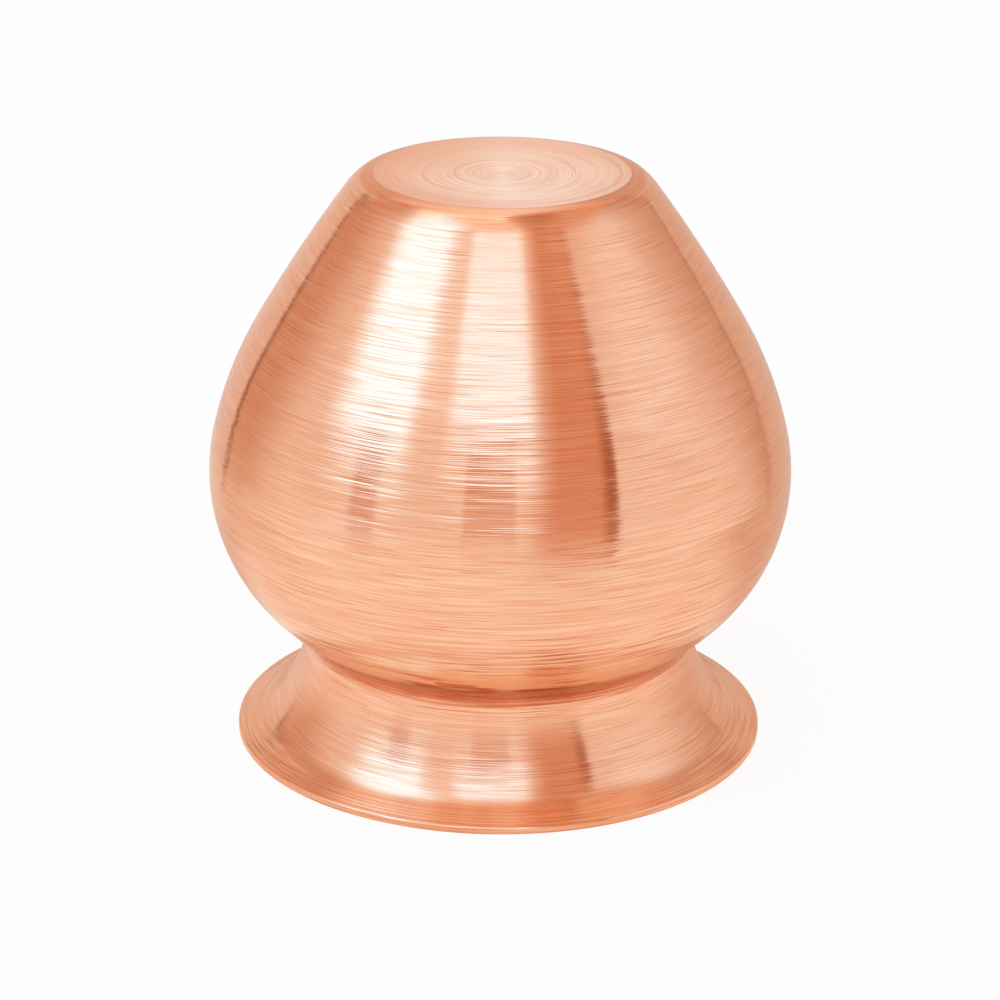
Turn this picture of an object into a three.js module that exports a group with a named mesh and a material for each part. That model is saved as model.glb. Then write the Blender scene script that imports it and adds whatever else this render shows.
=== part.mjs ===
// A copper lota, the round-bellied water pot, standing upside down on its flared mouth.
// Millimetres, +Z up, origin at the centre of the ring that the rim stands on.
//
// It is three spun copper shells, brazed together: a bowl from the base to the belly,
// a shoulder from the belly to the neck, and a flared mouth below the neck. Each seam is a lap:
// one shell has a lip, stepped in by the thickness of its neighbour, that sits inside it,
// and a ring of filler metal closes the corner where the lip ends.
import * as THREE from "three";

// The skin is the outside of the pot, followed from the base down to the rim as arcs that run
// on into one another. A slope is the skin's angle below level, in degrees: 0 is level and 90
// is upright.
const UPRIGHT = 90;

// Base: the level ring that it stands on when it is the right way up, round a shallow dish.
const BASE_RADIUS = 22.5;
const BASE_RING_WIDTH = 3;
const DISH_DEPTH = 0.3;

// Bowl: a crease round the base ring, where the skin turns down at once to the edge's slope,
// a rounded corner in three arcs, then a nearly straight flank that fills out to the belly.
const EDGE_SLOPE = 8;
const EASE_RADIUS = 12.6;
const EASE_SLOPE = 16;
const CORNER_RADIUS = 3;
const CORNER_SLOPE = 34;
const HEEL_RADIUS = 9.7;
const HEEL_SLOPE = 54;
const FLANK_RADIUS = 282;
const FLANK_SLOPE = 60;
const FILL_RADIUS = 70;
const FILL_SLOPE = 77;
const BELLY_RADIUS = 34;

// Shoulder, which carries the belly's curve round under the pot.
const SHOULDER_SLOPE = 144;
const SHOULDER_RUN = 0.6;

// Neck and flared mouth: a tight hollow at the neck, a collar and a cone that open out below it,
// and a bend into the straight brim. The rim is ground flat underneath.
const NECK_RADIUS = 5.1;
const NECK_SLOPE = 84;
const COLLAR_RADIUS = 19;
const COLLAR_SLOPE = 70;
const CONE_RADIUS = 25.7;
const CONE_SLOPE = 48;
const BRIM_BEND_RADIUS = 5;
const BRIM_SLOPE = 20.4;
const BRIM_WIDTH = 4.5;
const FOOT_WIDTH = 0.95;

// Sheet: the bowl and the shoulder are one gauge, and the mouth is a heavier one.
const WALL = 1.2;
const MOUTH_WALL = 1.5;

// Lap at the belly: the bowl's lip, the step above it and the filler, as lengths of the skin.
const BELLY_LIP = 4.8;
const BELLY_STEP = 2.4;
const BELLY_FILLER = 2.4;

// Lap at the neck: the mouth's lip, the slope where its step ends, and the filler's.
const NECK_LIP = 4;
const NECK_STEP_SLOPE = 75;
const NECK_FILLER_SLOPE = 118;

// Facets round the pot, and across the dish.
const AROUND = 64;
const DISH_RINGS = 3;

const COPPER = { color: 0xf0bd9f, metalness: 1, roughness: 0.32 };
const FILLER = { color: 0xd9b48a, metalness: 1, roughness: 0.45 };

const { degToRad, radToDeg } = THREE.MathUtils;
const sinDeg = (angle) => Math.sin(degToRad(angle));
const cosDeg = (angle) => Math.cos(degToRad(angle));

// The rim's outer edge, which stays upright above the ground foot.
const RIM_EDGE = (MOUTH_WALL - FOOT_WIDTH * sinDeg(BRIM_SLOPE)) / cosDeg(BRIM_SLOPE);

// Turns of the belly's arc that the lengths at its lap come to.
const bellyTurn = (length) => radToDeg(length / BELLY_RADIUS);

// A station is a point of the skin: its radius r, its height z and the slope there.
// A line of stations goes on by an arc. The pot bulges where the slope grows, and is hollow
// where it falls.
function bend(line, radius, slope, steps) {
  const start = line.at(-1);
  const side = slope > start.slope ? radius : -radius;
  const centreR = start.r - side * sinDeg(start.slope);
  const centreZ = start.z - side * cosDeg(start.slope);
  for (let step = 1; step <= steps; step += 1) {
    const there = start.slope + ((slope - start.slope) * step) / steps;
    line.push({ r: centreR + side * sinDeg(there), z: centreZ + side * cosDeg(there), slope: there });
  }
  return line;
}

// A line of stations goes straight on.
function run(line, length) {
  const { r, z, slope } = line.at(-1);
  line.push({ r: r + length * cosDeg(slope), z: z - length * sinDeg(slope), slope });
  return line;
}

// The skin in stretches, each from where the one before it ends, with the rim's edge at its
// height above the ground.
function skin() {
  const bowl = [{ r: BASE_RADIUS, z: 0, slope: EDGE_SLOPE }];
  bend(bowl, EASE_RADIUS, EASE_SLOPE, 2);
  bend(bowl, CORNER_RADIUS, CORNER_SLOPE, 2);
  bend(bowl, HEEL_RADIUS, HEEL_SLOPE, 2);
  bend(bowl, FLANK_RADIUS, FLANK_SLOPE, 3);
  bend(bowl, FILL_RADIUS, FILL_SLOPE, 4);
  bend(bowl, BELLY_RADIUS, UPRIGHT - bellyTurn(BELLY_STEP), 1);
  const step = bend([bowl.at(-1)], BELLY_RADIUS, UPRIGHT, 1);
  const lap = bend([step.at(-1)], BELLY_RADIUS, UPRIGHT + bellyTurn(BELLY_LIP), 1);
  const filler = bend([lap.at(-1)], BELLY_RADIUS, UPRIGHT + bellyTurn(BELLY_LIP + BELLY_FILLER), 1);
  const shoulder = bend([filler.at(-1)], BELLY_RADIUS, SHOULDER_SLOPE, 5);
  run(shoulder, SHOULDER_RUN);
  bend(shoulder, NECK_RADIUS, NECK_FILLER_SLOPE, 2);
  const throat = bend([shoulder.at(-1)], NECK_RADIUS, UPRIGHT, 2);
  const collar = bend([throat.at(-1)], NECK_RADIUS, NECK_SLOPE, 1);
  bend(collar, COLLAR_RADIUS, NECK_STEP_SLOPE, 1);
  const flare = bend([collar.at(-1)], COLLAR_RADIUS, COLLAR_SLOPE, 1);
  bend(flare, CONE_RADIUS, CONE_SLOPE, 3);
  bend(flare, BRIM_BEND_RADIUS, BRIM_SLOPE, 3);
  run(flare, BRIM_WIDTH);
  const lift = RIM_EDGE - flare.at(-1).z;
  const raised = (line) => line.map(({ r, z, slope }) => ({ r, z: z + lift, slope }));
  return [bowl, step, lap, filler, shoulder, throat, collar, flare].map(raised);
}

const [bowl, step, lap, filler, shoulder, throat, collar, flare] = skin();
const joined = (...lines) => lines.flatMap((line, i) => (i > 0 ? line.slice(1) : line));

// The point that lies a depth below a station, square to the skin, as [r, z].
const below = ({ r, z, slope }, depth) => [r - depth * sinDeg(slope), z - depth * cosDeg(slope)];
const down = (line, depth) => line.map((station) => below(station, depth));
const up = (line, depth) => down(line, depth).reverse();

// Turns an outline of [r, z] points, in order down the outside, round the pot's axis.
function turned(name, outline, look) {
  const points = outline.map(([r, z]) => new THREE.Vector2(r, z)).reverse();
  const geometry = new THREE.LatheGeometry(points, AROUND).rotateX(Math.PI / 2);
  const mesh = new THREE.Mesh(geometry, new THREE.MeshStandardMaterial(look));
  mesh.name = name;
  return mesh;
}

// A ring's outline comes back to its first point.
const turnedRing = (name, outline, look) => turned(name, [...outline, outline[0]], look);

// The dish in the base, from its middle out to the level ring.
function dish(level) {
  const radius = BASE_RADIUS - BASE_RING_WIDTH;
  return Array.from({ length: DISH_RINGS + 1 }, (_, ring) => {
    const share = ring / DISH_RINGS;
    return [radius * share, level - DISH_DEPTH * (1 - share * share)];
  });
}

// Base, flank and upper belly, with the lip that goes inside the shoulder.
function baseBowl() {
  const [seam, lipEnd] = lap;
  const top = bowl[0].z;
  const outline = [
    ...dish(top),
    ...down(joined(bowl, step), 0),
    below(seam, WALL),
    below(lipEnd, WALL),
    below(lipEnd, 2 * WALL),
    below(seam, 2 * WALL),
    ...up(bowl, WALL),
    ...dish(top - WALL).reverse(),
  ];
  return turned("base_bowl", outline, COPPER);
}

// Lower belly and shoulder, as far as the narrowest part of the neck.
function shoulderShell() {
  const line = joined(lap, filler, shoulder, throat);
  return turnedRing("shoulder_shell", [...down(line, 0), ...up(line, WALL)], COPPER);
}

// The mouth, from the neck to the rim, with the lip that stands up inside the shoulder.
function flaredMouth() {
  const neck = collar[0];
  const rim = flare.at(-1);
  const [lipRadius] = below(neck, WALL);
  const lipTop = neck.z + NECK_LIP;
  const outline = [
    [lipRadius - MOUTH_WALL, lipTop],
    [lipRadius, lipTop],
    [lipRadius, neck.z],
    ...down(joined(collar, flare), 0),
    [rim.r, 0],
    [rim.r - FOOT_WIDTH, 0],
    ...up(flare.slice(0, -1), MOUTH_WALL),
    [lipRadius - MOUTH_WALL, neck.z],
  ];
  return turnedRing("flared_mouth", outline, COPPER);
}

// Filler metal in the corner between the end of the bowl's lip and the shoulder.
function bellyBraze() {
  const [lipEnd, fillerEnd] = filler;
  const outline = [below(lipEnd, WALL), below(fillerEnd, WALL), below(lipEnd, 2 * WALL)];
  return turnedRing("belly_braze", outline, FILLER);
}

// Filler metal in the groove between the mouth's lip and the inside of the neck.
function neckBraze() {
  const [, top] = below(throat[0], WALL);
  const [lipRadius] = below(throat.at(-1), WALL);
  return turnedRing("neck_braze", [...down(throat, WALL), [lipRadius, top]], FILLER);
}

const lota = new THREE.Group();
lota.add(baseBowl(), shoulderShell(), flaredMouth(), bellyBraze(), neckBraze());

export default lota;
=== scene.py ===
"""Looks of a copper lota, a round-bellied water pot that stands upside down on its flared mouth.

Metres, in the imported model's frame: +Z runs up the pot's axis from the rim to the base, and the
camera stands at -Y and looks along +Y.
"""

import math
from typing import NamedTuple

import bpy
import numpy as np
from mathutils import Matrix, Vector


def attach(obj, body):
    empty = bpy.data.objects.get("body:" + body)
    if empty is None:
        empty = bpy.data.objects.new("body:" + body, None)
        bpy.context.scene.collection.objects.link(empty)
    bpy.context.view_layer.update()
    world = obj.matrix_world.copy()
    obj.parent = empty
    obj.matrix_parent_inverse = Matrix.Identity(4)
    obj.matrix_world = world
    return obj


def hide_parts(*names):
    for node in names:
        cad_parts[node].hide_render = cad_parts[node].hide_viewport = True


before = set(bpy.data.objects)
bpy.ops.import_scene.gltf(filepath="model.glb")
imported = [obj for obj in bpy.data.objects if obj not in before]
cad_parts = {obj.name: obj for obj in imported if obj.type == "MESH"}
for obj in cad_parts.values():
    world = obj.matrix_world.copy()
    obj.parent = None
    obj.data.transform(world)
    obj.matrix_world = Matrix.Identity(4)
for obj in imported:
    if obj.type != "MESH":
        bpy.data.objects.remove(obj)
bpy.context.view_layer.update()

MM = 0.001

# A point of the outline is (radius, height), and points as close as this are one.
UP = np.array([0.0, 1.0])
TOUCHING = 1e-7

# The skin, from the base down to the rim, as arcs that run on into one another: radii in metres,
# and slopes in degrees below level.
BASE_RADIUS = 22.5 * MM
BASE_RING_WIDTH = 3.0 * MM
DISH_RADIUS = BASE_RADIUS - BASE_RING_WIDTH
DISH_DEPTH = 0.3 * MM
EDGE_SLOPE = 8.0
EASE_RADIUS, EASE_SLOPE = 12.6 * MM, 16.0
CORNER_RADIUS, CORNER_SLOPE = 3.0 * MM, 34.0
HEEL_RADIUS, HEEL_SLOPE = 9.7 * MM, 54.0
FLANK_RADIUS, FLANK_SLOPE = 282.0 * MM, 60.0
FILL_RADIUS, FILL_SLOPE = 70.0 * MM, 77.0
BELLY_RADIUS, SHOULDER_SLOPE = 34.0 * MM, 144.0
SHOULDER_RUN = 0.6 * MM
NECK_RADIUS, NECK_SLOPE = 5.1 * MM, 84.0
COLLAR_RADIUS, COLLAR_SLOPE = 19.0 * MM, 70.0
CONE_RADIUS, CONE_SLOPE = 25.7 * MM, 48.0
BRIM_BEND_RADIUS, BRIM_SLOPE = 5.0 * MM, 20.4
BRIM_WIDTH = 4.5 * MM
FOOT_WIDTH = 0.95 * MM
UPRIGHT = 90.0

# Sheet and laps
WALL = 1.2 * MM
MOUTH_WALL = 1.5 * MM
BELLY_LIP = 4.8 * MM
BELLY_STEP = 2.4 * MM
BELLY_FILLER = 2.4 * MM
NECK_LIP = 4.0 * MM
NECK_STEP_SLOPE = 75.0
NECK_FILLER_SLOPE = 118.0

# Softened edges, and the dot that the lathe's centre left in the base, with its rings as shares of
# its radius
RIM_TOP_SOFTENING = 0.45 * MM
RIM_FOOT_SOFTENING = 0.22 * MM
LIP_SOFTENING = 0.3 * MM
FOOT_CLEARANCE = 0.3 * MM
CENTRE_DOT_RADIUS, CENTRE_DOT_DEPTH = 0.35 * MM, 0.05 * MM
CENTRE_DOT_RINGS = (0.35, 0.7, 1.0, 1.4, 2.0)
BEAD_HOLLOW = 0.18 * MM

# Fine grooves turned in the brim: (distance in from the edge, width, depth). At the spread times
# its width from its middle, a groove has 1/e of its depth.
RIM_GROOVES = (
    (1.00 * MM, 0.36 * MM, 0.030 * MM),
    (1.70 * MM, 0.34 * MM, 0.022 * MM),
    (2.45 * MM, 0.28 * MM, 0.018 * MM),
    (3.20 * MM, 0.34 * MM, 0.022 * MM),
    (4.20 * MM, 0.30 * MM, 0.014 * MM),
)
GROOVE_SPREAD = 0.42

# Ripples that turning left all over the outside: their lengths, the steepest slope of each, and
# how far below the base's edge they reach their full depth.
RIPPLES = (2.3 * MM, 3.7 * MM, 6.1 * MM)
RIPPLE_SLOPE = 0.006
RIPPLE_FADE = 2 * MM

# Facets: round the pot, along the skin outside and inside, on narrow faces, and round soft edges.
AROUND = 256
FINE_PITCH = 0.45 * MM
PLAIN_PITCH = 1.1 * MM
GROOVE_PITCH = 0.085 * MM
EDGE_PITCH = 0.3 * MM
RAMP_PITCH = 0.5 * MM
BEAD_PITCH = 0.2 * MM
SOFTENING_STEPS = 8


def sin_deg(angle):
    return math.sin(math.radians(angle))


def cos_deg(angle):
    return math.cos(math.radians(angle))


# Stations along the skin are (radius, height, slope).
def bend(line, radius, slope):
    """Carries a line of stations on by an arc that ends at a slope."""
    r, z, start = line[-1]
    side = radius if slope > start else -radius
    centre = (r - side * sin_deg(start), z - side * cos_deg(start))
    steps = max(2, math.ceil(radius * abs(math.radians(slope - start)) / FINE_PITCH))
    for step in range(1, steps + 1):
        there = start + (slope - start) * step / steps
        line.append((centre[0] + side * sin_deg(there), centre[1] + side * cos_deg(there), there))
    return line


def run(line, length, pitch=FINE_PITCH):
    """Carries a line of stations straight on."""
    r, z, slope = line[-1]
    steps = math.ceil(length / pitch)
    for step in range(1, steps + 1):
        there = length * step / steps
        line.append((r + there * cos_deg(slope), z - there * sin_deg(slope), slope))
    return line


def belly_slope(length):
    """The slope that far along the belly's arc from the seam."""
    return UPRIGHT + math.degrees(length / BELLY_RADIUS)


def skin():
    """The skin in stretches, each from where the one before it ends."""
    bowl = [(BASE_RADIUS, 0.0, EDGE_SLOPE)]
    bend(bowl, EASE_RADIUS, EASE_SLOPE)
    bend(bowl, CORNER_RADIUS, CORNER_SLOPE)
    bend(bowl, HEEL_RADIUS, HEEL_SLOPE)
    bend(bowl, FLANK_RADIUS, FLANK_SLOPE)
    bend(bowl, FILL_RADIUS, FILL_SLOPE)
    bend(bowl, BELLY_RADIUS, belly_slope(-BELLY_STEP))
    step = bend([bowl[-1]], BELLY_RADIUS, UPRIGHT)
    lap = bend([step[-1]], BELLY_RADIUS, belly_slope(BELLY_LIP))
    filler = bend([lap[-1]], BELLY_RADIUS, belly_slope(BELLY_LIP + BELLY_FILLER))
    shoulder = run(bend([filler[-1]], BELLY_RADIUS, SHOULDER_SLOPE), SHOULDER_RUN)
    bend(shoulder, NECK_RADIUS, NECK_FILLER_SLOPE)
    throat = bend([shoulder[-1]], NECK_RADIUS, UPRIGHT)
    collar = bend([throat[-1]], NECK_RADIUS, NECK_SLOPE)
    bend(collar, COLLAR_RADIUS, NECK_STEP_SLOPE)
    flare = bend([collar[-1]], COLLAR_RADIUS, COLLAR_SLOPE)
    bend(flare, CONE_RADIUS, CONE_SLOPE)
    bend(flare, BRIM_BEND_RADIUS, BRIM_SLOPE)
    run(flare, BRIM_WIDTH, GROOVE_PITCH)
    # The rim's cut edge stands upright on the floor.
    edge_height = (MOUTH_WALL - FOOT_WIDTH * sin_deg(BRIM_SLOPE)) / cos_deg(BRIM_SLOPE)
    lift = np.array([0.0, edge_height - flare[-1][1], 0.0])
    stretches = {
        "bowl": bowl, "step": step, "lap": lap, "filler": filler,
        "shoulder": shoulder, "throat": throat, "collar": collar, "flare": flare,
    }
    return {name: np.array(line) + lift for name, line in stretches.items()}


def joined(*lines):
    return np.concatenate([lines[0]] + [line[1:] for line in lines[1:]])


def below(line, depth):
    """The points that lie a depth below a line of stations, square to the skin."""
    slope = np.radians(line[:, 2])
    return line[:, :2] - depth * np.stack([np.sin(slope), np.cos(slope)], axis=1)


def thinned(points):
    """The same run of points with fewer between its ends."""
    length = np.linalg.norm(np.diff(points, axis=0), axis=1).sum()
    count = max(3, math.ceil(length / PLAIN_PITCH) + 1)
    if count >= len(points):
        return points
    return points[np.unique(np.linspace(0, len(points) - 1, count).round().astype(int))]


def straight(a, b, pitch=PLAIN_PITCH):
    a, b = np.asarray(a, float), np.asarray(b, float)
    count = max(2, math.ceil(np.linalg.norm(b - a) / pitch) + 1)
    return a + (b - a) * np.linspace(0, 1, count)[:, None]


def softened(first, second, radius):
    """Rounds the corner where one run of points meets the next. Gives the first run cut back, the
    arc, and the second run cut back."""
    corner = first[-1]
    into = (corner - first[-2]) / np.linalg.norm(corner - first[-2])
    out = (second[1] - corner) / np.linalg.norm(second[1] - corner)
    turn = math.atan2(into[0] * out[1] - into[1] * out[0], float(into @ out))
    reach = radius * math.tan(abs(turn) / 2)
    start, end = corner - into * reach, corner + out * reach
    keep_first = first[np.linalg.norm(first - corner, axis=1) > reach + TOUCHING]
    keep_second = second[np.linalg.norm(second - corner, axis=1) > reach + TOUCHING]
    centre = start + math.copysign(radius, turn) * np.array([-into[1], into[0]])
    across, up = start - centre
    angles = np.linspace(0, turn, SOFTENING_STEPS + 1)
    cos, sin = np.cos(angles), np.sin(angles)
    arc = centre + np.stack([across * cos - up * sin, across * sin + up * cos], axis=1)
    return np.vstack([keep_first, start]), arc, np.vstack([end, keep_second])


SKIN = skin()
TOP = SKIN["bowl"][0][1]
WHOLE = joined(*SKIN.values())
WHOLE_STEPS = np.linalg.norm(np.diff(WHOLE[:, :2], axis=0), axis=1)
WHOLE_LENGTH = np.concatenate([[0], np.cumsum(WHOLE_STEPS)])


def dish(level, pitch):
    """The dish in the base, from its middle out to where the standing ring begins."""
    share = np.linspace(0, 1, math.ceil(DISH_RADIUS / pitch) + 1)
    return np.stack([DISH_RADIUS * share, level - DISH_DEPTH * (1 - share**2)], axis=1)


def dotted_dish():
    """The dish from outside, with the dot that the lathe's centre left in its middle."""
    points = dish(TOP, FINE_PITCH)
    close = CENTRE_DOT_RADIUS * np.array(CENTRE_DOT_RINGS)
    heights = np.interp(close, points[:, 0], points[:, 1])
    rest = points[1:][points[1:, 0] > close[-1]]
    points = np.vstack([points[:1], np.stack([close, heights], axis=1), rest])
    depth = CENTRE_DOT_DEPTH * np.exp(-((points[:, 0] / CENTRE_DOT_RADIUS) ** 2))
    return points - UP * depth[:, None]


def outward(points):
    """The way out of the metal at each point of a run, square to it."""
    along = np.gradient(points, axis=0, edge_order=2 if len(points) > 2 else 1)
    along /= np.linalg.norm(along, axis=1)[:, None]
    return np.stack([-along[:, 1], along[:, 0]], axis=1)


def ripple_depth(length):
    """How deep the turning ripples go at a length along the skin, from 0."""
    depth = np.zeros(len(length))
    for number, wave in enumerate(RIPPLES):
        turn = 2 * math.pi / wave
        depth += RIPPLE_SLOPE / turn * (1 + np.sin(turn * length + number))
    return depth


def rippled_dish(points):
    """The turning ripples of the dish, which die away at its middle and where the level ring
    begins."""
    fade = np.sqrt(np.sin(math.pi * np.clip(points[:, 0] / DISH_RADIUS, 0, 1)))
    return points - UP * (ripple_depth(points[:, 0]) * fade)[:, None]


def rippled(points):
    """The turning ripples of the outside. They follow the whole skin, so that they run on across a
    seam, and die away at the base's edge."""
    length = np.interp(-points[:, 1], -WHOLE[:, 1], WHOLE_LENGTH)
    fade = np.clip(length / RIPPLE_FADE, 0, 1)
    return points - outward(points) * (ripple_depth(length) * fade)[:, None]


def grooved(points):
    """The grooves of the brim."""
    inset = np.linalg.norm(points - points[-1], axis=1)
    depth = np.zeros(len(points))
    for place, width, deep in RIM_GROOVES:
        depth += deep * np.exp(-((inset - place) / (GROOVE_SPREAD * width)) ** 2)
    return points - outward(points) * depth[:, None]


def hollowed(a, b):
    """A run from a to b that is hollow at its middle, as molten filler sets in a corner."""
    points = straight(a, b, BEAD_PITCH)
    share = np.linspace(0, 1, len(points))
    return points - outward(points) * (BEAD_HOLLOW * np.sin(math.pi * share))[:, None]


def added(name, data):
    """A new object of the scene."""
    thing = bpy.data.objects.new(name, data)
    bpy.context.scene.collection.objects.link(thing)
    return thing


# The ways out from the axis, anticlockwise from above, the first of them towards the camera
ANGLES = np.arange(AROUND) * 2 * math.pi / AROUND
SPOKES = np.stack([np.sin(ANGLES), -np.cos(ANGLES)], axis=1)

# A piece's first material is on its outside. The corners of a face, anticlockwise from outside,
# are (which of its two rings, spokes on from its first).
OUTSIDE, INSIDE = 0, 1
FACE_CORNERS = ((0, 0), (1, 0), (1, 1), (0, 1))


def outline(outside, inside):
    """A body's outline: its points and, for each step from one to the next, the ways out of the
    metal at its two ends and its material."""
    points, ways_out, looks = [], [], []
    for look, runs in ((OUTSIDE, outside), (INSIDE, inside)):
        for line in runs:
            way_out = outward(line)
            points.extend(line[:-1])
            ways_out.extend(zip(way_out[:-1], way_out[1:]))
            looks.extend([look] * (len(line) - 1))
    last = [*outside, *inside][-1][-1]
    if np.linalg.norm(last - points[0]) > TOUCHING:
        points.append(last)
    return np.array(points), ways_out, looks


def rings_round(points):
    """The vertices of a ring round the axis for each point, and the numbers of each ring's own. A
    point on the axis has one vertex."""
    verts, rings = [], []
    for r, z in points:
        if r < TOUCHING:
            rings.append([len(verts)] * AROUND)
            verts.append((0.0, 0.0, z))
        else:
            rings.append(range(len(verts), len(verts) + AROUND))
            verts.extend((r * x, r * y, z) for x, y in SPOKES)
    return verts, rings


def turned(name, outside, inside=()):
    """A closed body turned round the pot's axis, from runs of points in order down its outside and
    back up its inside. The corner between two runs stays sharp."""
    points, ways_out, looks = outline(outside, inside)
    lengths = np.linalg.norm(np.diff(np.vstack([points, points[:1]]), axis=0), axis=1)
    share = np.concatenate([[0], np.cumsum(lengths)]) / lengths[:len(looks)].sum()
    verts, rings = rings_round(points)
    faces, slots, normals, uvs = [], [], [], []
    for i, (way_out, look) in enumerate(zip(ways_out, looks)):
        pair = rings[i], rings[(i + 1) % len(rings)]
        for j in range(AROUND):
            corners = [(pair[end][(j + on) % AROUND], end, j + on) for end, on in FACE_CORNERS]
            # Where a ring is one vertex on the axis, the face has a corner less.
            befores = corners[-1:] + corners[:-1]
            corners = [here for here, before in zip(corners, befores) if here[0] != before[0]]
            faces.append([vertex for vertex, _, _ in corners])
            slots.append(look)
            for _, end, spoke in corners:
                x, y = SPOKES[spoke % AROUND]
                out, up = way_out[end]
                normals.append((out * x, out * y, up))
                uvs.append((spoke / AROUND, share[i + end]))
    mesh = bpy.data.meshes.new(name)
    mesh.from_pydata(verts, [], faces)
    mesh.polygons.foreach_set("material_index", slots)
    mesh.polygons.foreach_set("use_smooth", [True] * len(faces))
    layer = mesh.uv_layers.new(name="OFBake")
    layer.data.foreach_set("uv", np.array(uvs, np.float32).ravel())
    mesh.normals_split_custom_set(normals)
    return added(name, mesh)


def base_bowl():
    seam, lip_end = SKIN["lap"][:1], SKIN["lap"][-1:]
    flank = rippled(below(joined(SKIN["bowl"], SKIN["step"]), 0))
    butt = straight(flank[-1], below(seam, WALL)[0])
    lap_faying = thinned(below(SKIN["lap"], WALL))
    lip_foot = straight(below(lip_end, WALL)[0], below(lip_end, 2 * WALL)[0], EDGE_PITCH)
    lip_inside = thinned(below(SKIN["lap"], 2 * WALL)[::-1])
    lip_foot, lip_edge, lip_inside = softened(lip_foot, lip_inside, LIP_SOFTENING)
    ramp = straight(below(seam, 2 * WALL)[0], below(SKIN["bowl"][-1:], WALL)[0], EDGE_PITCH)
    flank_inside = thinned(below(SKIN["bowl"], WALL)[::-1])
    inner_top = TOP - WALL
    dish_inside = np.vstack([[(BASE_RADIUS, inner_top)], dish(inner_top, PLAIN_PITCH)[::-1]])
    ring = straight((DISH_RADIUS, TOP), (BASE_RADIUS, TOP))
    return turned(
        "bowl_copper",
        (rippled_dish(dotted_dish()), ring, flank),
        (butt, lap_faying, lip_foot, lip_edge, lip_inside, ramp, flank_inside, dish_inside),
    )


def shoulder_shell():
    line = joined(SKIN["lap"], SKIN["filler"], SKIN["shoulder"], SKIN["throat"])
    outer, inner = rippled(below(line, 0)), thinned(below(line, WALL)[::-1])
    return turned(
        "shoulder_copper",
        (outer,),
        (straight(outer[-1], inner[0]), inner, straight(inner[-1], outer[0])),
    )


def flared_mouth():
    line = joined(SKIN["collar"], SKIN["flare"])
    outer = below(line, 0)
    neck_radius, neck_z = outer[0]
    lip_radius, lip_top = neck_radius - WALL, neck_z + NECK_LIP
    bore_radius = lip_radius - MOUTH_WALL
    rim_radius = outer[-1][0]
    foot_end = (rim_radius - FOOT_WIDTH, 0.0)
    edge = straight(outer[-1], (rim_radius, 0.0), EDGE_PITCH)
    foot = straight((rim_radius, 0.0), foot_end, EDGE_PITCH)
    flare_inside = below(SKIN["flare"], MOUTH_WALL)[::-1]
    flare_inside = thinned(flare_inside[flare_inside[:, 1] > FOOT_CLEARANCE])
    flare_inside = np.vstack([[foot_end], flare_inside])
    outer = grooved(rippled(outer))
    edge[0] = outer[-1]
    outer, rim_top, edge = softened(outer, edge, RIM_TOP_SOFTENING)
    edge, rim_foot, foot = softened(edge, foot, RIM_FOOT_SOFTENING)
    foot, foot_inside, flare_inside = softened(foot, flare_inside, RIM_FOOT_SOFTENING)
    ramp = straight(flare_inside[-1], (bore_radius, neck_z), RAMP_PITCH)
    lip_inside = straight((bore_radius, neck_z), (bore_radius, lip_top))
    lip_edge = straight((bore_radius, lip_top), (lip_radius, lip_top), EDGE_PITCH)
    lip_inside, lip_round, lip_edge = softened(lip_inside, lip_edge, LIP_SOFTENING)
    lip_faying = straight((lip_radius, lip_top), (lip_radius, neck_z))
    butt = straight((lip_radius, neck_z), outer[0])
    return turned(
        "mouth_copper",
        (outer, rim_top, edge, rim_foot, foot, foot_inside),
        (flare_inside, ramp, lip_inside, lip_round, lip_edge, lip_faying, butt),
    )


def belly_braze():
    filler = SKIN["filler"]
    lip_bottom, skin_side = below(filler[:1], 2 * WALL)[0], below(filler, WALL)
    bead = hollowed(skin_side[-1], lip_bottom)
    lip_side = straight(lip_bottom, skin_side[0], EDGE_PITCH)
    return turned("belly_filler", (skin_side, bead, lip_side))


def neck_braze():
    skin_side = below(SKIN["throat"], WALL)
    top = np.array([skin_side[-1][0], skin_side[0][1]])
    lip_side = straight(skin_side[-1], top, EDGE_PITCH)
    return turned("neck_filler", (skin_side, lip_side, hollowed(top, skin_side[0])))


# Colour sockets of a mix node, whose first sockets of the same names are for numbers
MIX_FROM, MIX_TO, MIX_RESULT = 6, 7, 2


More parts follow.
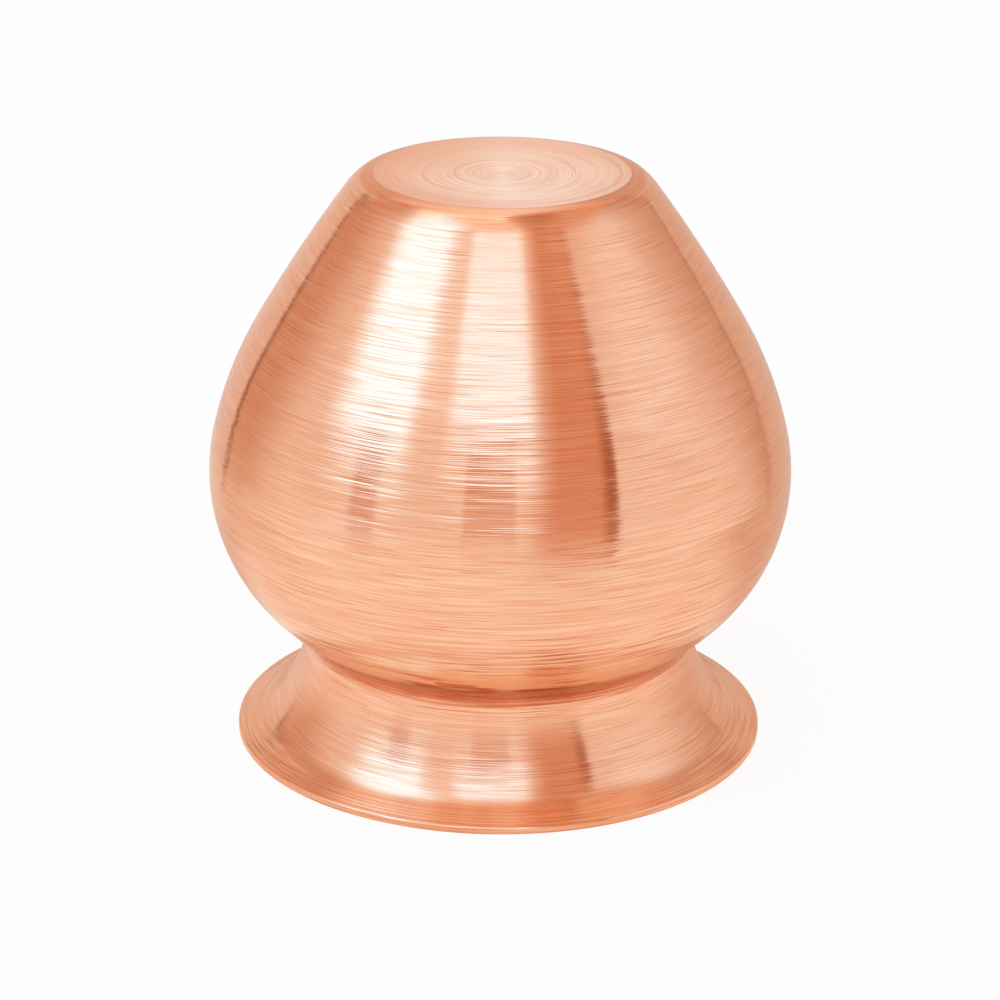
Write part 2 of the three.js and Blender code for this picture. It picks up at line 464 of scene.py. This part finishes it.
class Nodes:
    """Short names for making the shader nodes of a material or a world."""

    def __init__(self, owner):
        owner.use_nodes = True
        self.tree = owner.node_tree
        self.tree.nodes.clear()

    def make(self, kind, inputs=(), **settings):
        node = self.tree.nodes.new(kind)
        for name, value in settings.items():
            setattr(node, name, value)
        for place, value in dict(inputs).items():
            socket = node.inputs[place]
            if isinstance(value, bpy.types.NodeSocket):
                self.tree.links.new(value, socket)
            else:
                socket.default_value = (*value, 1.0) if socket.type == "RGBA" else value
        return node

    def math(self, operation, *values):
        return self.make("ShaderNodeMath", enumerate(values), operation=operation).outputs[0]

    def plus(self, a, b):
        return self.math("ADD", a, b)

    def minus(self, a, b):
        return self.math("SUBTRACT", a, b)

    def times(self, a, b):
        return self.math("MULTIPLY", a, b)

    def times_plus(self, a, b, c):
        return self.math("MULTIPLY_ADD", a, b, c)

    def over(self, a, b):
        return self.math("DIVIDE", a, b)

    def vector(self, operation, *values):
        places = ("Vector", "Scale") if operation == "SCALE" else range(len(values))
        node = self.make("ShaderNodeVectorMath", zip(places, values), operation=operation)
        return node.outputs["Value" if operation == "LENGTH" else "Vector"]

    def combine(self, x, y, z):
        return self.make("ShaderNodeCombineXYZ", {"X": x, "Y": y, "Z": z}).outputs[0]

    def split(self, vector):
        return self.make("ShaderNodeSeparateXYZ", {"Vector": vector}).outputs

    def ramp(self, value, low, high):
        """A smooth rise from 0 at low to 1 at high, which may be the lower number."""
        places = {"Value": value, "From Min": low, "From Max": high}
        node = self.make("ShaderNodeMapRange", places, interpolation_type="SMOOTHSTEP")
        return node.outputs["Result"]

    def band(self, value, rise, fall):
        """Rises from 0 to 1 over one span, and falls back to 0 over another."""
        return self.times(self.ramp(value, *rise), self.ramp(value, *fall))

    def level(self, value, span, levels):
        """Takes a span of values evenly to a span of levels, and goes no further."""
        places = {
            "Value": value,
            "From Min": span[0], "From Max": span[1],
            "To Min": levels[0], "To Max": levels[1],
        }
        return self.make("ShaderNodeMapRange", places).outputs["Result"]

    def mix(self, share, a, b):
        places = {"Factor": share, MIX_FROM: a, MIX_TO: b}
        return self.make("ShaderNodeMix", places, data_type="RGBA").outputs[MIX_RESULT]

    def noise(self, detail, scale=1.0, **others):
        places = {"Scale": scale, "Detail": detail, **others}
        return self.make("ShaderNodeTexNoise", places).outputs["Fac"]

    def surface(self, shader, output="ShaderNodeOutputMaterial"):
        self.make(output, {"Surface": shader.outputs[0]})


class Marks(NamedTuple):
    """Marks of brushing and turning, drawn out round the pot: about so long and so wide, and
    wavering from level by about that distance."""

    length: float
    width: float
    seed: float
    waver: float = 0.0
    detail: float = 1.0


HAIR = Marks(13 * MM, 0.16 * MM, 11.3, 0.05 * MM)
STROKE = Marks(28 * MM, 0.45 * MM, 47.9, 0.1 * MM)
SWEEP = Marks(70 * MM, 1.9 * MM, 83.1, 0.2 * MM)
SCORE = Marks(15 * MM, 0.16 * MM, 151.7, 0.05 * MM)
RING = Marks(160 * MM, 0.20 * MM, 201.1)
WIDE_RING = Marks(90 * MM, 0.75 * MM, 233.9, 0.1 * MM)
INSIDE_RING = Marks(120 * MM, 0.7 * MM, 5.0, detail=2.0)

# How far a step outwards counts beside a step down in telling the marks apart, and how far round
# the pot they go before they waver. The noise of the drift seldom goes further than a quarter from
# its middle, so the gain makes it as large as the waver.
RADIUS_SHARE = 0.83
WAVER_LENGTH = 24 * MM
WAVER_DETAIL = 1.0
WAVER_GAIN = 4

# Noise lies round this value. Each mark tilts the surface by how far its noise is from it, times
# the mark's tilt in radians.
NOISE_MIDDLE = 0.5
HAIR_TILT, HAIR_FLANK_TILT, HAIR_BELLY_TILT, HAIR_ALONG_TILT = 0.04, 0.07, 0.05, 0.01
STROKE_TILT = 0.08
SWEEP_TILT = 0.025
SCORE_FLANK_TILT, SCORE_BELLY_TILT = 0.18, 0.24
RING_TILT, WIDE_RING_TILT = 0.24, 0.14
INSIDE_RING_TILT = 0.22

# The lights stand close enough for the mouth to see them higher than the belly does, though the
# studio is drawn as if it were far off. So the mouth's normal leans down by this angle in radians,
# as under a mark whose noise is one less than the middle everywhere, and it mirrors what is twice
# as much lower in the studio.
MOUTH_LEAN = 0.095
STEADY = NOISE_MIDDLE - 1

# The noise over which a hair goes from its lowest to its highest, and how far from the noise's
# middle a deep mark starts and is at its full depth
HAIR_SPAN = (0.34, 0.66)
SCORE_START, SCORE_FULL = 0.08, 0.2

# Zones of the outside, as the (height, height) or (radius, radius) over which each comes in or
# goes out. The widest part of the belly has been scuffed the most. The neck is painted paler, a
# painted sheen that stands in for brighter reflections there, and a thin line of painted shade
# runs along the crease round the base.
BASE_ZONE = (TOP - 0.9 * MM, TOP - 0.4 * MM)
BELLY_RISE, BELLY_FALL = (44 * MM, 52 * MM), (78 * MM, 68 * MM)
NECK_RISE, NECK_FALL = (20 * MM, 25 * MM), (33 * MM, 28 * MM)
MOUTH_ZONE = (25 * MM, 19 * MM)
CREASE_RISE, CREASE_FALL = (22.1 * MM, 22.5 * MM), (23.1 * MM, 22.6 * MM)
CREASE_HEIGHTS = (90 * MM, 95 * MM)

# Colours of the outside. The copper goes from deep to pale with the hairs and strokes.
DEEP_COPPER, PALE_COPPER = (0.895, 0.455, 0.275), (0.98, 0.605, 0.43)
HAIR_SHARE, STROKE_SHARE, SHADE_SPAN = 0.6, 0.4, (0.15, 0.85)
# A painted sheen on the neck, paler where its reflections are brighter
NECK_SHEEN_COLOUR = (1.0, 0.74, 0.53)
SCORE_COLOUR, SCORE_SPAN = (0.83, 0.35, 0.19), (0.42, 0.15)
# Painted shade along the crease round the base
CREASE_SHADE_COLOUR = (0.78, 0.31, 0.16)

# The base has a painted highlight round a spot off its middle, and painted shade, deeper in
# colour, away from it. Between its rings it is deeper in colour.
HIGHLIGHT_SPOT_X, HIGHLIGHT_SPOT_Y, HIGHLIGHT_SPOT_EDGE = 4 * MM, -3 * MM, (7 * MM, 26 * MM)
BASE_EDGE_SHADE = (0.84, 0.345, 0.18)
RING_SPAN, WIDE_RING_SPAN, RING_SHARE = (0.46, 0.26), (0.5, 0.28), 0.7
RING_COLOUR = (0.80, 0.32, 0.17)

# Gloss of the outside: duller on the mouth and where strokes are high, and smoother on the belly
ANISOTROPY = 0.97
STROKE_SPAN, ROUGHNESS = (0.25, 0.75), (0.15, 0.185)
MOUTH_ROUGHNESS, BELLY_ROUGHNESS = 0.03, -0.035
ACROSS_THE_MARKS = 0.25

# The inside, duller and with stains
INSIDE_COPPER, INSIDE_STAIN = (0.88, 0.44, 0.26), (0.72, 0.30, 0.16)
STAIN_SCALE, STAIN_DETAIL, STAIN_SPAN = 45.0, 3.0, (0.35, 0.7)
INSIDE_ANISOTROPY = 0.6
INSIDE_SPAN, INSIDE_ROUGHNESS = (0.3, 0.7), (0.34, 0.5)

# Brazing alloy, with lumps and patches of tarnish
FILLER_COLOUR, FILLER_TARNISH = (0.72, 0.48, 0.24), (0.52, 0.27, 0.13)
PATCH_SCALE, PATCH_DETAIL, PATCH_SPAN = 160.0, 2.0, (0.35, 0.65)
LUMP_SCALE, LUMP_DETAIL = 900.0, 3.0
LUMP_SPAN, FILLER_ROUGHNESS = (0.3, 0.7), (0.38, 0.6)
LUMP_HEIGHT, LUMP_STRENGTH = 0.2 * MM, 0.5


def turning_coordinates(n):
    """(x, y, height, radius): where a point is on the pot."""
    x, y, z = n.split(n.make("ShaderNodeTexCoord").outputs["Object"])
    return x, y, z, n.vector("LENGTH", n.combine(x, y, 0.0))


def lines(n, where, marks):
    """The noise of some marks, from 0 to 1."""
    x, y, height, radius = where
    # Where the skin is level, as on the base, the radius tells the marks apart, and elsewhere the
    # height.
    across = n.minus(height, n.times(radius, RADIUS_SHARE))
    if marks.waver:
        place = n.combine(n.over(x, WAVER_LENGTH), n.over(y, WAVER_LENGTH), marks.seed)
        drift = n.minus(n.noise(WAVER_DETAIL, Vector=place), NOISE_MIDDLE)
        across = n.plus(across, n.times(drift, WAVER_GAIN * marks.waver))
    across = n.plus(n.over(across, marks.width), marks.seed)
    place = n.combine(n.over(x, marks.length), n.over(y, marks.length), across)
    return n.noise(marks.detail, Vector=place)


def brushed_normal(n, where, across_tilts, along_tilts=()):
    """The surface normal with each mark's own tilt up the skin or round it, from pairs of (noise,
    amount)."""
    x, y, _, _ = where
    normal = n.make("ShaderNodeNewGeometry").outputs["Normal"]
    round_way = n.vector("NORMALIZE", n.combine(n.times(y, -1.0), x, 0.0))
    up_way = n.vector("CROSS_PRODUCT", normal, round_way)
    total = normal
    for way, tilts in ((up_way, across_tilts), (round_way, along_tilts)):
        for noise, amount in tilts:
            tilt = n.times(n.minus(noise, NOISE_MIDDLE), amount)
            total = n.vector("ADD", total, n.vector("SCALE", way, tilt))
    return n.vector("NORMALIZE", total)


def deep_marks(n, noise):
    """The rare deep marks of a noise: 0 or 1 where they are, and the noise's middle elsewhere."""
    high = n.ramp(noise, NOISE_MIDDLE + SCORE_START, NOISE_MIDDLE + SCORE_FULL)
    low = n.ramp(noise, NOISE_MIDDLE - SCORE_START, NOISE_MIDDLE - SCORE_FULL)
    return n.plus(n.times(n.minus(high, low), NOISE_MIDDLE), NOISE_MIDDLE)


def turned_copper(n, colour, roughness, anisotropy, normal):
    """Copper whose gloss is drawn out across the marks that run round the pot."""
    n.surface(n.make("ShaderNodeBsdfPrincipled", {
        "Base Color": colour,
        "Metallic": 1.0,
        "Roughness": roughness,
        "Anisotropic": anisotropy,
        "Anisotropic Rotation": ACROSS_THE_MARKS,
        "Normal": normal,
        "Tangent": n.make("ShaderNodeTangent", direction_type="RADIAL", axis="Z").outputs[0],
    }))


def brushed_copper():
    """Bare copper brushed on the lathe: satin, with fine marks round the axis."""
    material = bpy.data.materials.new("brushed_copper")
    n = Nodes(material)
    where = turning_coordinates(n)
    x, y, height, radius = where
    base = n.ramp(height, *BASE_ZONE)
    flank = n.minus(1.0, base)
    belly = n.band(height, BELLY_RISE, BELLY_FALL)
    neck = n.band(height, NECK_RISE, NECK_FALL)
    mouth = n.ramp(height, *MOUTH_ZONE)
    crease_shade = n.times(n.band(radius, CREASE_RISE, CREASE_FALL), n.ramp(height, *CREASE_HEIGHTS))

    hair = n.ramp(lines(n, where, HAIR), *HAIR_SPAN)
    stroke, sweep = lines(n, where, STROKE), lines(n, where, SWEEP)
    score = deep_marks(n, lines(n, where, SCORE))
    ring, wide_ring = lines(n, where, RING), lines(n, where, WIDE_RING)
    hair_tilt = n.times_plus(belly, HAIR_BELLY_TILT, HAIR_TILT)
    across_tilts = (
        (hair, n.times_plus(flank, HAIR_FLANK_TILT, hair_tilt)),
        (stroke, STROKE_TILT),
        (sweep, SWEEP_TILT),
        (score, n.plus(n.times(flank, SCORE_FLANK_TILT), n.times(belly, SCORE_BELLY_TILT))),
        (ring, n.times(base, RING_TILT)),
        (wide_ring, n.times(base, WIDE_RING_TILT)),
        (STEADY, n.times(mouth, MOUTH_LEAN)),
    )
    normal = brushed_normal(n, where, across_tilts, ((hair, HAIR_ALONG_TILT),))

    shade = n.plus(n.times(hair, HAIR_SHARE), n.times(stroke, STROKE_SHARE))
    colour = n.mix(n.ramp(shade, *SHADE_SPAN), DEEP_COPPER, PALE_COPPER)
    # Painted sheen on the neck
    colour = n.mix(neck, colour, NECK_SHEEN_COLOUR)
    colour = n.mix(n.ramp(score, *SCORE_SPAN), colour, SCORE_COLOUR)
    # A painted highlight round a spot off the base's middle, and painted shade away from it
    from_spot = n.combine(n.minus(x, HIGHLIGHT_SPOT_X), n.minus(y, HIGHLIGHT_SPOT_Y), 0.0)
    edge = n.ramp(n.vector("LENGTH", from_spot), *HIGHLIGHT_SPOT_EDGE)
    colour = n.mix(n.times(base, edge), colour, BASE_EDGE_SHADE)
    rings = n.math("MAXIMUM", n.ramp(ring, *RING_SPAN), n.ramp(wide_ring, *WIDE_RING_SPAN))
    colour = n.mix(n.times(base, n.times(rings, RING_SHARE)), colour, RING_COLOUR)
    # Painted shade along the crease round the base
    colour = n.mix(crease_shade, colour, CREASE_SHADE_COLOUR)

    roughness = n.level(stroke, STROKE_SPAN, ROUGHNESS)
    roughness = n.plus(roughness, n.times(mouth, MOUTH_ROUGHNESS))
    roughness = n.times_plus(belly, BELLY_ROUGHNESS, roughness)
    turned_copper(n, colour, roughness, ANISOTROPY, normal)
    return material


def spun_inside():
    """The inside, left as it came off the spinning lathe: duller, with broader rings."""
    material = bpy.data.materials.new("spun_copper_inside")
    n = Nodes(material)
    where = turning_coordinates(n)
    ring = lines(n, where, INSIDE_RING)
    stain = n.ramp(n.noise(STAIN_DETAIL, STAIN_SCALE), *STAIN_SPAN)
    colour = n.mix(stain, INSIDE_COPPER, INSIDE_STAIN)
    roughness = n.level(ring, INSIDE_SPAN, INSIDE_ROUGHNESS)
    normal = brushed_normal(n, where, ((ring, INSIDE_RING_TILT),))
    turned_copper(n, colour, roughness, INSIDE_ANISOTROPY, normal)
    return material


def filler_metal():
    """Brazing alloy as it flowed: yellower than the copper, dull and faintly lumpy."""
    material = bpy.data.materials.new("brazing_filler")
    n = Nodes(material)
    lump = n.noise(LUMP_DETAIL, LUMP_SCALE)
    patch = n.ramp(n.noise(PATCH_DETAIL, PATCH_SCALE), *PATCH_SPAN)
    bump = {"Height": lump, "Strength": LUMP_STRENGTH, "Distance": LUMP_HEIGHT}
    n.surface(n.make("ShaderNodeBsdfPrincipled", {
        "Base Color": n.mix(patch, FILLER_COLOUR, FILLER_TARNISH),
        "Metallic": 1.0,
        "Roughness": n.level(lump, LUMP_SPAN, FILLER_ROUGHNESS),
        "Normal": n.make("ShaderNodeBump", bump).outputs[0],
    }))
    return material


def dress(piece, materials, node):
    for material in materials:
        piece.data.materials.append(material)
    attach(piece, "root")
    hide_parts(node)


copper, inside, filler = brushed_copper(), spun_inside(), filler_metal()
dress(base_bowl(), (copper, inside), "base_bowl")
dress(shoulder_shell(), (copper, inside), "shoulder_shell")
dress(flared_mouth(), (copper, inside), "flared_mouth")
dress(belly_braze(), (filler,), "belly_braze")
dress(neck_braze(), (filler,), "neck_braze")


# Camera, as fitted to the photograph's outline of the pot
CAMERA_DISTANCE = 627.05 * MM
CAMERA_ELEVATION = 21.264
CAMERA_ROLL = 0.417
CAMERA_TARGET = Vector((0.0, 0.0, 43.142 * MM))
FOCAL_PIXELS, FRAME_PIXELS = 3483.4, 1000
SENSOR_WIDTH = 36.0
CLIP_START, CLIP_END = 0.05, 60.0


def add_camera():
    data = bpy.data.cameras.new("photo_camera")
    data.sensor_width = SENSOR_WIDTH
    data.lens = FOCAL_PIXELS / FRAME_PIXELS * SENSOR_WIDTH
    data.clip_start, data.clip_end = CLIP_START, CLIP_END
    camera = added("photo_camera", data)
    back = Vector((0.0, -cos_deg(CAMERA_ELEVATION), sin_deg(CAMERA_ELEVATION)))
    place = Matrix.Translation(CAMERA_TARGET + back * CAMERA_DISTANCE)
    aim = back.to_track_quat("Z", "Y").to_matrix().to_4x4()
    roll = Matrix.Rotation(math.radians(CAMERA_ROLL), 4, "Z")
    camera.matrix_world = place @ aim @ roll
    bpy.context.scene.camera = camera


# The floor reads as white and keeps a little of the pot's shadow, because where it is seen it
# glows by this share.
FLOOR_RADIUS = 0.22
FLOOR_SIDES = 96
FLOOR_COLOUR = (0.95, 0.95, 0.95)
FLOOR_GLOW = 0.92
WHITE = (1.0, 1.0, 1.0)
BACKGROUND = (0.99, 0.99, 0.99)

# What the pot mirrors of the floor, painted with its light and shade, and the places over which
# one
# tint goes over into the next: painted light at the pot's foot, warm from the light that the
# copper throws there, and painted shade behind it. The front and the back have a tint at the left
# and one at the right; the back's tints are painted shade, darker at the right.
FOOT_TINT, BESIDE_TINT, FOOT_SPAN = (0.95, 0.70, 0.56), (1.04, 0.93, 0.83), (49 * MM, 56 * MM)
DIM_TINT, DIM_DEPTH, DIM_SKEW = (0.80, 0.56, 0.43), (-5 * MM, 40 * MM), 0.2
FRONT_TINTS, FRONT_WIDTH = ((1.04, 1.03, 0.98), (0.98, 0.94, 0.90)), (-20 * MM, 60 * MM)
BACK_SHADE_TINTS, BACK_WIDTH = ((0.90, 0.72, 0.60), (0.76, 0.57, 0.46)), (-50 * MM, 50 * MM)
BACK_DEPTH = (-70 * MM, 30 * MM)
FAR_SPAN = (55 * MM, 180 * MM)


def mirrored_floor(n):
    """The floor's tints in the pot's mirror rays, painted with light and shade."""
    position = n.make("ShaderNodeTexCoord").outputs["Object"]
    x, y, _ = n.split(position)
    away = n.vector("LENGTH", position)
    front = n.mix(n.ramp(x, *FRONT_WIDTH), *FRONT_TINTS)
    back = n.mix(n.ramp(x, *BACK_WIDTH), *BACK_SHADE_TINTS)
    # Painted shade on the floor behind the pot
    far = n.mix(n.ramp(y, *BACK_DEPTH), front, back)
    # Painted light at the pot's foot, and painted shade behind it
    near = n.mix(n.ramp(away, *FOOT_SPAN), FOOT_TINT, BESIDE_TINT)
    near = n.mix(n.ramp(n.times_plus(x, DIM_SKEW, y), *DIM_DEPTH), near, DIM_TINT)
    return n.mix(n.ramp(away, *FAR_SPAN), near, far)


def add_floor():
    """A round pale floor."""
    mesh = bpy.data.meshes.new("floor")
    angles = np.arange(FLOOR_SIDES) * 2 * math.pi / FLOOR_SIDES
    edge = [(FLOOR_RADIUS * math.cos(a), FLOOR_RADIUS * math.sin(a), 0.0) for a in angles]
    mesh.from_pydata(edge, [], [tuple(range(FLOOR_SIDES))])
    floor = added("floor", mesh)
    material = bpy.data.materials.new("white_floor")
    n = Nodes(material)
    rays = n.make("ShaderNodeLightPath").outputs
    light = n.mix(rays["Is Camera Ray"], mirrored_floor(n), WHITE)
    seen = n.math("MAXIMUM", rays["Is Camera Ray"], rays["Is Glossy Ray"])
    seen = n.math("MAXIMUM", seen, rays["Is Transmission Ray"])
    plain = n.make("ShaderNodeBsdfDiffuse", {"Color": FLOOR_COLOUR}).outputs[0]
    glow = n.make("ShaderNodeEmission", {"Color": light, "Strength": 1.0}).outputs[0]
    n.surface(n.make("ShaderNodeMixShader", {0: n.times(seen, FLOOR_GLOW), 1: plain, 2: glow}))
    mesh.materials.append(material)


class Panel(NamedTuple):
    """A soft-edged patch of the studio, in degrees. Azimuth goes to the camera's right from
    straight behind the camera. Softness is that of the left, right, lower and upper edge, and the
    leans are how far the left and the right edge move for each degree of elevation."""

    azimuths: tuple
    elevations: tuple
    softness: tuple
    colour: tuple
    leans: tuple = (0.0, 0.0)


# The studio round the pot, seen only in its reflections and as its light. A panel that reaches 180
# degrees of azimuth or 90 of elevation has no edge there, and that softness isn't used.
STUDIO_BASE = (0.93, 0.86, 0.83)
NO_EDGE = (180, 90)
STUDIO_PANELS = (
    # Below the horizon, beyond the floor, and dimmer behind
    Panel((-180, 180), (-90, -2), (1, 1, 1, 8), (1.02, 0.97, 0.92)),
    Panel((-180, -118), (-90, 2), (1, 16, 1, 6), (0.88, 0.70, 0.58)),
    Panel((118, 180), (-90, 2), (16, 1, 1, 6), (0.76, 0.56, 0.45)),
    # Overhead, bright towards the back, and warm towards the camera
    Panel((-180, 180), (56, 90), (1, 1, 4, 1), (1.33, 1.32, 1.18)),
    Panel((-180, 180), (76, 90), (1, 1, 5, 1), (1.37, 1.55, 1.55)),
    Panel((-150, -100), (66, 90), (8, 8, 4, 1), (1.14, 1.35, 1.4)),
    Panel((-97, 115), (60, 90), (15, 15, 4, 1), (0.98, 0.61, 0.35)),
    Panel((-125, 30), (70, 90), (15, 10, 5, 1), (1.10, 0.92, 0.76)),
    # Dim sides, which run round the back above the backdrop
    Panel((-180, -105), (-10, 54), (1, 18, 6, 6), (0.70, 0.43, 0.31)),
    Panel((115, 180), (-10, 54), (28, 1, 6, 6), (0.66, 0.43, 0.34)),
    Panel((-180, -150), (36, 54), (1, 8, 1, 6), (1.05, 0.80, 0.62)),
    Panel((150, 180), (36, 54), (8, 1, 1, 6), (1.05, 0.80, 0.62)),
    Panel((-180, -163), (31, 60), (1, 8, 3, 2), (1.17, 1.38, 1.45)),
    Panel((172, 180), (31, 60), (6, 1, 3, 2), (1.17, 1.38, 1.45)),
    # Backdrop, with the thin dark line of its edge, and a small dark patch above it at the left
    Panel((-180, -133), (-18, 18), (1, 1, 4, 6), (0.36, 0.17, 0.09)),
    Panel((131, 180), (-18, 18), (1, 1, 4, 6), (0.50, 0.30, 0.21), leans=(0.4, 0.0)),
    Panel((-180, -136), (-18, 33), (1, 1, 4, 2), (0.84, 0.68, 0.58)),
    Panel((133, 180), (-18, 33), (1, 1, 4, 2), (0.76, 0.58, 0.48), leans=(0.4, 0.0)),
    Panel((-146, -130), (21, 28), (4, 3, 3, 3), (0.48, 0.26, 0.17)),
    # A bright strip at the middle of the backdrop, brightest to the right of its centre
    Panel((-180, -177), (2, 35), (1, 3, 6, 3), (1.00, 0.98, 0.88)),
    Panel((176.5, 180), (2, 35), (3, 1, 6, 3), (1.00, 1.02, 0.98)),
    Panel((178.2, 180), (2, 35), (1.2, 1, 6, 3), (1.07, 1.24, 1.34)),
    Panel((-180, -179.4), (2, 35), (1, 0.8, 6, 3), (1.07, 1.24, 1.34)),
    # A pale glow between and below the soft boxes, and one to the right of the dark band
    Panel((-46, -20), (30, 66), (4, 4, 9, 8), (1.02, 1.04, 1.04)),
    Panel((58, 92), (22, 40), (8, 14, 12, 10), (1.01, 1.07, 1.12), leans=(0.2, 0.2)),
    Panel((-66, -39), (13, 66), (9, 4, 6, 8), (1.05, 1.16, 1.22), leans=(-0.65, 0.0)),
    Panel((-26, 18), (22, 60), (3, 4, 8, 5), (1.04, 1.10, 1.14)),
    # Two soft boxes
    Panel((-60, -43), (24, 66), (9, 3, 8, 8), (1.13, 1.95, 2.7), leans=(-0.65, 0.0)),
    Panel((-25, 17), (35, 58), (3, 4, 8, 6), (1.13, 1.85, 2.5)),
    # What stands dark beside and below them
    Panel((-14, 6), (3, 21), (0.5, 0.5, 8, 5), (0.75, 0.41, 0.27)),
    Panel((-60, -49), (2, 15), (2, 2, 6, 4), (0.65, 0.24, 0.11)),
    Panel((13, 45), (-10, 82), (8, 0.5, 8, 6), (0.74, 0.40, 0.27), leans=(0.24, 0.2)),
    Panel((39.5, 45), (-2, 36), (2.5, 0.5, 8, 14), (0.40, 0.15, 0.08), leans=(0.2, 0.2)),
    Panel((45, 168), (50, 84), (2, 8, 4, 6), (0.82, 0.52, 0.37)),
    Panel((55, 158), (68, 90), (8, 8, 4, 1), (0.60, 0.31, 0.19)),
)


def share_of_panel(n, panel, azimuth, elevation):
    """How far a direction is in a panel, from 0 outside to 1 inside."""
    leaning = [n.minus(azimuth, n.times(elevation, lean)) for lean in panel.leans]
    angles = (*leaning, elevation, elevation)
    edges = (*panel.azimuths, *panel.elevations)
    share = 1.0
    for angle, edge, inwards, soft in zip(angles, edges, (1, -1, 1, -1), panel.softness):
        if abs(edge) not in NO_EDGE:
            side = n.ramp(angle, edge - inwards * soft, edge + inwards * soft)
            share = n.times(share, side)
    return share


def add_studio():
    world = bpy.data.worlds.new("studio")
    bpy.context.scene.world = world
    n = Nodes(world)
    x, y, z = n.split(n.make("ShaderNodeTexCoord").outputs["Generated"])
    azimuth = n.times(n.math("ARCTAN2", x, n.times(y, -1.0)), math.degrees(1))
    elevation = n.times(n.math("ARCSINE", z), math.degrees(1))
    colour = STUDIO_BASE
    for panel in STUDIO_PANELS:
        colour = n.mix(share_of_panel(n, panel, azimuth, elevation), colour, panel.colour)
    rays = n.make("ShaderNodeLightPath").outputs
    colour = n.mix(rays["Is Camera Ray"], colour, BACKGROUND)
    background = n.make("ShaderNodeBackground", {"Color": colour, "Strength": 1.0})
    n.surface(background, "ShaderNodeOutputWorld")


add_camera()
add_floor()
add_studio()
bpy.context.scene.view_settings.view_transform = "Standard"
